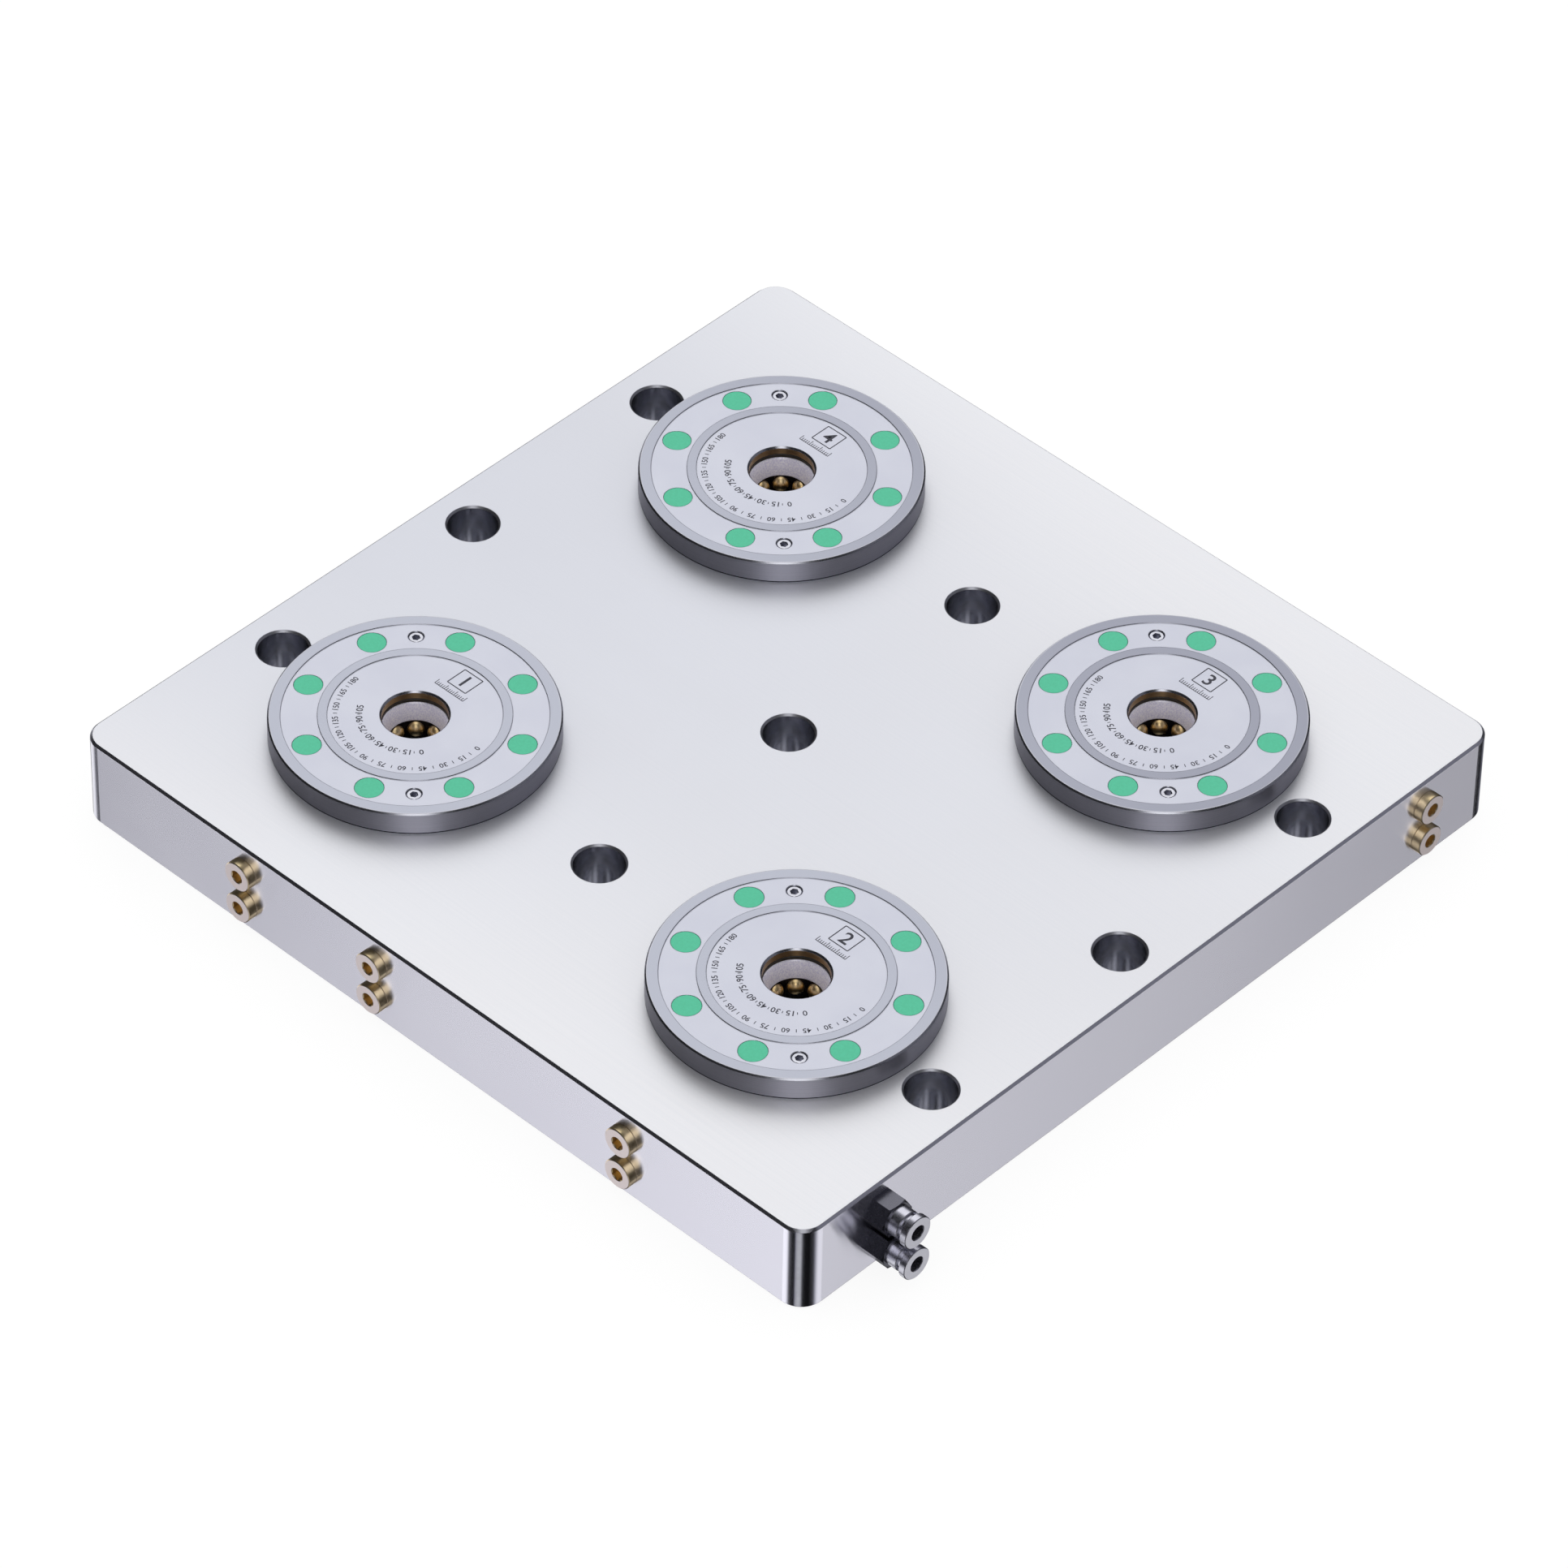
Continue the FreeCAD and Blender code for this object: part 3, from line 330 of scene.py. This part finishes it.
def make_floor():
    """A plain white floor that keeps a faint shadow of the object."""
    mesh = bpy.data.meshes.new("floor")
    build = bmesh.new()
    bmesh.ops.create_circle(build, cap_ends=True, radius=FLOOR_RADIUS, segments=FLOOR_SIDES)
    build.to_mesh(mesh)
    build.free()
    floor = bpy.data.objects.new("floor", mesh)
    bpy.context.scene.collection.objects.link(floor)
    floor.location.z = -FLOOR_DROP
    floor.visible_glossy = False
    material = bpy.data.materials.new("floor_white")
    material.use_nodes = True
    n = Nodes(material.node_tree)
    plain = n.add("ShaderNodeBsdfDiffuse")
    n.put(plain.inputs["Color"], (FLOOR_WHITE,) * 3)
    grey = n.add("ShaderNodeBsdfDiffuse")
    n.put(grey.inputs["Color"], (FLOOR_SHADOW,) * 3)
    glow = n.add("ShaderNodeEmission")
    n.put(glow.inputs["Strength"], FLOOR_GLOW)
    seen = n.add("ShaderNodeAddShader")
    n.put(seen.inputs[0], grey.outputs[0])
    n.put(seen.inputs[1], glow.outputs[0])
    either = n.add("ShaderNodeMixShader")
    n.put(either.inputs[0], n.add("ShaderNodeLightPath").outputs["Is Camera Ray"])
    n.put(either.inputs[1], plain.outputs[0])
    n.put(either.inputs[2], seen.outputs[0])
    n.put(n.add("ShaderNodeOutputMaterial").inputs["Surface"], either.outputs[0])
    mesh.materials.append(material)


def new_material(name, metallic=1.0, specular=0.5):
    """A material with its principled shader, ready for colour, roughness and bump."""
    material = bpy.data.materials.new(name)
    material.use_nodes = True
    n = Nodes(material.node_tree)
    shader = n.add("ShaderNodeBsdfPrincipled")
    shader.inputs["Metallic"].default_value = metallic
    shader.inputs["Specular IOR Level"].default_value = specular
    n.put(n.add("ShaderNodeOutputMaterial").inputs["Surface"], shader.outputs[0])
    return material, n, shader


def bump(n, shader, height, strength, depth, edge=None):
    """Fine relief, and with edge the light of edges rounded to that radius in metres."""
    node = n.add("ShaderNodeBump")
    if edge is not None:
        rounding = n.add("ShaderNodeBevel", samples=EDGE_SAMPLES)
        rounding.inputs["Radius"].default_value = edge
        n.put(node.inputs["Normal"], rounding.outputs[0])
    node.inputs["Strength"].default_value = strength
    node.inputs["Distance"].default_value = depth
    n.put(node.inputs["Height"], height)
    n.put(shader.inputs["Normal"], node.outputs[0])


def spread_upright(n, shader, mask):
    """Turned and ground walls, whose fine level lines spread the gloss up and down."""
    n.put(shader.inputs["Anisotropic"], n.times(mask, WALL_SPREAD))
    n.put(shader.inputs["Tangent"], n.join(0.0, 0.0, 1.0))


def station_radius(n, x, y):
    """The distance from the axis of the nearest station, in metres."""
    dx, dy = (n.math("SUBTRACT", n.math("ABSOLUTE", side), STATION_OFFSET * MM)
              for side in (x, y))
    return n.math("SQRT", n.math("ADD", n.times(dx, dx), n.times(dy, dy)))


def plate_steel():
    """Ground steel: fine straight lines on the top, glossier sides, drilled walls in the holes."""
    material, n, shader = new_material("plate_ground_steel")
    place = n.place()
    x, y, z = n.split(place)
    up = n.smooth(n.facing(), *GROUND_UP)
    upright = n.upright()
    along, across = GROUND_LINES
    lines = n.noise(n.join(n.times(x, along), n.times(y, across), 0.0), scale=1.0)
    lines = n.blend(up, 0.5, lines)
    cloud = n.noise(place, scale=9.0, roughness=0.55)
    shade = n.math("ADD", n.times(lines, 0.5), n.times(cloud, 0.5))
    top = n.grade(shade, linear(242, 243, 247), linear(248, 248, 251))
    # Painted shade: the top is painted greyer towards -X and in the middle.
    grey = n.math("ADD", n.times(n.times(y, y), PAINTED_SHADE_BOW), n.times(x, PAINTED_SHADE_SLOPE))
    grey = n.times(n.smooth(grey, *PAINTED_SHADE_EDGE), PAINTED_SHADE_SHARE)
    top = n.mix(grey, top, linear(212, 215, 226))
    side = n.grade(shade, linear(231, 230, 243), linear(238, 237, 249))
    steel = n.mix(up, side, top)
    # Walls that lie inside the outline belong to holes and wells.
    reach = n.math("MAXIMUM", n.math("ABSOLUTE", x), n.math("ABSOLUTE", y))
    inside = n.smooth(reach, *HOLES)
    wall = n.times(inside, n.left(n.smooth(n.facing(), *CHAMFERED_UP)))
    drilled = n.mix(n.noise(place, METAL_GRAIN), linear(176, 177, 186), linear(206, 207, 215))
    n.put(shader.inputs["Base Color"], n.mix(wall, steel, drilled))
    rough = n.blend(upright, n.blend(up, CHAMFER_ROUGH, TOP_ROUGH), SIDE_ROUGH)
    rough = n.math("ADD", rough, n.smooth(shade, *GRAIN, out_low=-0.02, out_high=0.02))
    hole = n.blend(upright, MOUTH_ROUGH, HOLE_ROUGH)
    n.put(shader.inputs["Roughness"], n.blend(wall, rough, hole))
    spread_upright(n, shader, n.times(upright, n.left(inside)))
    bump(n, shader, lines, strength=0.02, depth=0.0002, edge=EDGE_ROUNDING)
    return material


def flange_steel():
    """Turned rings, paler satin faces between them, a dark side and a seat with a blasted cone."""
    material, n, shader = new_material("flange_turned_steel")
    place = n.place()
    x, y, z = n.split(place)
    radius = station_radius(n, x, y)
    up = n.smooth(n.facing(), *TURNED_UP)
    raised = n.smooth(z, *RING_TOPS)
    rings = n.times(up, raised)
    satin = n.times(n.times(up, n.left(raised)), n.smooth(z, *FLANGE_FACES))
    skirt = n.times(n.upright(), n.smooth(radius, *SKIRT))
    seat = n.times(n.smooth(radius, *SEAT_MOUTH), n.smooth(z, *SEAT_LEVEL))
    above = n.smooth(z, *SEAT_WALL)
    by_radius, by_height = TURNED_LINES
    turned = n.join(n.times(radius, by_radius), 0.0, n.times(z, by_height))
    turned = n.noise(turned, scale=1.0, detail=2.0)
    cloud = n.noise(place, scale=40.0, detail=2.0, roughness=0.5)
    edge = n.grade(turned, linear(188, 189, 198), linear(198, 199, 208))
    side = n.grade(turned, linear(168, 167, 178), linear(181, 180, 191))
    # The side is painted near black where it meets the plate, a painted contact shadow.
    side = n.mix(n.smooth(z, *FOOT_SHADOW), side, linear(16, 16, 18))
    ring = n.grade(turned, linear(172, 175, 187), linear(179, 182, 194))
    # Painted shade: the rings are painted darker towards +X and +Y.
    ring_shade = n.smooth(n.math("ADD", n.times(x, RING_SHADE_SLOPE), y), *RING_SHADE_EDGE)
    ring = n.mix(ring_shade, ring, linear(152, 154, 167))
    ring = n.mix(n.smooth(radius, *RIM), ring, edge)
    face = n.grade(cloud, linear(208, 210, 222), linear(212, 214, 225))
    # The cone is blasted, and the wall above it is painted brown, a painted reflection of the
    # dark, brown-tinted interior below it.
    grit = n.noise(place, BLASTED_GRAIN, detail=2.0)
    cone = n.grade(grit, linear(218, 214, 236), linear(250, 247, 254))
    painted_reflection = n.grade(cloud, linear(150, 122, 90), linear(206, 176, 134))
    colour = n.mix(rings, n.mix(skirt, edge, side), ring)
    colour = n.mix(satin, colour, face)
    n.put(shader.inputs["Base Color"], n.mix(seat, colour, n.mix(above, cone, painted_reflection)))
    blasted = n.times(seat, n.left(above))
    n.put(shader.inputs["Metallic"], n.blend(blasted, 1.0, BLASTED_METAL))
    rough = n.blend(rings, CHAMFER_ROUGH, RING_ROUGH)
    rough = n.blend(satin, rough, SATIN_ROUGH)
    rough = n.blend(n.math("MAXIMUM", skirt, seat), rough, SKIRT_ROUGH)
    rough = n.math("ADD", rough, n.smooth(turned, *GRAIN, out_low=-0.015, out_high=0.015))
    n.put(shader.inputs["Roughness"], rough)
    spread_upright(n, shader, n.math("MAXIMUM", skirt, n.times(seat, above)))
    bump(n, shader, turned, strength=0.03, depth=0.0001, edge=EDGE_ROUNDING)
    return material


def plain_metal(name, light, dark, roughness):
    """A metal with a fine cloudy grain."""
    material, n, shader = new_material(name)
    cloud = n.noise(n.place(), METAL_GRAIN)
    n.put(shader.inputs["Base Color"], n.grade(cloud, dark, light))
    low, high = (roughness * part for part in METAL_VARIES)
    n.put(shader.inputs["Roughness"], n.smooth(cloud, *WIDE_GRAIN, low, high))
    bump(n, shader, cloud, strength=0.02, depth=0.0001)
    return material


def soft_plastic(name, light, dark, roughness, grain):
    """A moulded plastic or rubber, or a print, with a fine grain."""
    material, n, shader = new_material(name, metallic=0.0, specular=0.35)
    cloud = n.noise(n.place(), grain)
    n.put(shader.inputs["Base Color"], n.grade(cloud, dark, light))
    low, high = (roughness + part for part in SOFT_VARIES)
    n.put(shader.inputs["Roughness"], n.smooth(cloud, *WIDE_GRAIN, low, high))
    bump(n, shader, cloud, strength=0.04, depth=0.00005)
    return material


def turned_end(n, shader, cloud, body, end, end_colour, roughness, end_roughness):
    """The finish of a small turned part: its body, and a paler end face where end is one."""
    n.put(shader.inputs["Base Color"], n.mix(end, body, end_colour))
    grain = n.smooth(cloud, *GRAIN, out_low=-0.02, out_high=0.02)
    n.put(shader.inputs["Roughness"],
          n.math("ADD", n.blend(end, roughness, end_roughness), grain))
    bump(n, shader, cloud, strength=0.005, depth=0.0001)


def plug_brass():
    """Brass with a paler turned end face."""
    material, n, shader = new_material("plug_turned_brass")
    place = n.place()
    x, y, z = n.split(place)
    end = n.math("MAXIMUM", n.smooth(x, *PLUG_END_X), n.smooth(y, *PLUG_END_Y))
    cloud = n.noise(place, SMALL_PART_GRAIN)
    brass = n.grade(cloud, linear(238, 215, 168), linear(249, 228, 183))
    turned_end(n, shader, cloud, brass, end, linear(236, 224, 224), 0.31, 0.32)
    return material


def fitting_nickel():
    """Nickel with a dark hexagon and a paler turned end face."""
    material, n, shader = new_material("fitting_nickel")
    place = n.place()
    x, y, z = n.split(place)
    cloud = n.noise(place, SMALL_PART_GRAIN)
    barrel = n.grade(cloud, linear(196, 196, 207), linear(208, 208, 219))
    body = n.mix(n.smooth(x, *HEXAGON), barrel, linear(104, 104, 113))
    end = n.smooth(x, *FITTING_END)
    turned_end(n, shader, cloud, body, end, linear(228, 228, 238), 0.27, 0.34)
    return material


# Plain finishes by material slot: name, light colour, dark colour, roughness.
METALS = {
    "cage_steel": ("cage_dark_steel", (74, 72, 74), (58, 56, 58), 0.40),
    "piston_steel": ("piston_steel", (176, 176, 182), (160, 160, 168), 0.25),
    "ball_steel": ("ball_gold", (255, 230, 180), (250, 216, 156), 0.34),
    "spring_steel": ("spring_steel", (130, 128, 128), (110, 108, 110), 0.35),
    "screw_steel": ("screw_steel", (206, 207, 216), (190, 191, 200), 0.25),
}
PLASTICS = {
    "seal_rubber": ("seal_rubber", (34, 34, 36), (26, 26, 28), 0.5),
    "wiper_rubber": ("wiper_rubber", (52, 46, 40), (40, 36, 32), 0.45),
    "cap_green": ("cap_green", (86, 196, 158), (82, 191, 152), 0.55),
}


def make_materials():
    """The finish of each material slot of the record."""
    finishes = {"plate_steel": plate_steel(), "flange_steel": flange_steel(),
                "plug_brass": plug_brass(), "fitting_nickel": fitting_nickel()}
    for slot, (name, light, dark, roughness) in METALS.items():
        finishes[slot] = plain_metal(name, linear(*light), linear(*dark), roughness)
    for slot, (name, light, dark, roughness) in PLASTICS.items():
        finishes[slot] = soft_plastic(name, linear(*light), linear(*dark), roughness, SOFT_GRAIN)
    return finishes


def dress_nodes(finishes):
    """Each CAD node gets the finish of its slot in the record."""
    for row in frame["record"]["subparts"]:
        slots = frame["nodes"][row["node"]].data.materials
        slots.clear()
        slots.append(finishes[row["material_slot"]])


def add_digits(build, text, height, place, tops):
    """Digits with their middle at place, in millimetres, and their tops towards this azimuth."""
    curve = bpy.data.curves.new("digits", "FONT")
    curve.body = text
    curve.resolution_u = 3
    curve.offset = DIGIT_WEIGHT
    holder = bpy.data.objects.new("digits", curve)
    mesh = bpy.data.meshes.new_from_object(holder)
    low = Vector([min(v.co[i] for v in mesh.vertices) for i in range(3)])
    high = Vector([max(v.co[i] for v in mesh.vertices) for i in range(3)])
    size = height * MM / (high.y - low.y)
    mesh.transform(Matrix.Translation(Vector((*place, MARK_LEVEL)) * MM)
                   @ Matrix.Rotation(math.radians(tops - 90.0), 4, "Z")
                   @ Matrix.Diagonal((size, size, size, 1.0))
                   @ Matrix.Translation(-(low + high) / 2))
    build.from_mesh(mesh)
    bpy.data.meshes.remove(mesh)
    bpy.data.objects.remove(holder)
    bpy.data.curves.remove(curve)


def add_line(build, start, end, width=MARK_WIDTH):
    """A straight flat line between two points, in millimetres."""
    a, b = Vector((*start, MARK_LEVEL)), Vector((*end, MARK_LEVEL))
    along = (b - a).normalized()
    aside = Vector((-along.y, along.x, 0.0)) * width / 2
    corners = (a - aside, b - aside, b + aside, a + aside)
    build.faces.new([build.verts.new(corner * MM) for corner in corners])


def ray(centre, radius, azimuth):
    """The point at this radius and azimuth round a station."""
    turn = math.radians(azimuth)
    return centre[0] + radius * math.cos(turn), centre[1] + radius * math.sin(turn)


def add_scale(build, centre, radius, height, tick, first, count):
    """An angle scale that runs clockwise: numbers, and a short line between each two."""
    for i in range(count):
        azimuth = first - i * SCALE_STEP
        add_digits(build, str(i * SCALE_STEP), height, ray(centre, radius, azimuth), azimuth)
        if i + 1 < count:
            between = azimuth - SCALE_STEP / 2
            add_line(build, ray(centre, radius - tick / 2, between),
                     ray(centre, radius + tick / 2, between))


def add_number(build, cx, cy, number):
    """A number in a frame."""
    low_x, high_x = (cx + side for side in FRAME_X)
    low_y, high_y = (cy + side for side in FRAME_Y)
    corners = [(low_x, low_y), (high_x, low_y), (high_x, high_y), (low_x, high_y)]
    for a, b in zip(corners, corners[1:] + corners[:1]):
        add_line(build, a, b, FRAME_WIDTH)
    middle = ((low_x + high_x) / 2, (low_y + high_y) / 2)
    add_digits(build, str(number), NUMBER_HEIGHT, middle, 90.0)


def add_rule(build, cx, cy):
    """A short rule with a line at each millimetre."""
    foot = cy + RULE_FOOT
    add_line(build, (cx - RULE_REACH, foot), (cx + RULE_REACH, foot))
    for i in range(RULE_COUNT):
        x = cx + RULE_FIRST + i
        height = RULE_SHORT if i % RULE_LONG_EVERY else RULE_LONG
        add_line(build, (x, foot), (x, foot + height))


def make_marks(material):
    """Marks on each flange: two angle scales, a framed number and a short rule."""
    for number, (side_x, side_y) in STATIONS.items():
        centre = (side_x * STATION_OFFSET, side_y * STATION_OFFSET)
        build = bmesh.new()
        for scale in SCALES:
            add_scale(build, centre, *scale)
        add_number(build, *centre, number)
        add_rule(build, *centre)
        for face in build.faces:
            if face.normal.z < 0:
                face.normal_flip()
        build.normal_update()
        mesh = bpy.data.meshes.new(f"marks_{number}")
        build.to_mesh(mesh)
        build.free()
        mesh.materials.append(material)
        marks = bpy.data.objects.new(f"marks_{number}", mesh)
        bpy.context.scene.collection.objects.link(marks)
        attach(marks, "housing")


make_world()
make_camera()
make_floor()
dress_nodes(make_materials())
make_marks(soft_plastic("mark_grey", linear(70, 70, 80), linear(54, 54, 64), 0.60, MARK_GRAIN))
bpy.context.scene.view_settings.view_transform = "Standard"
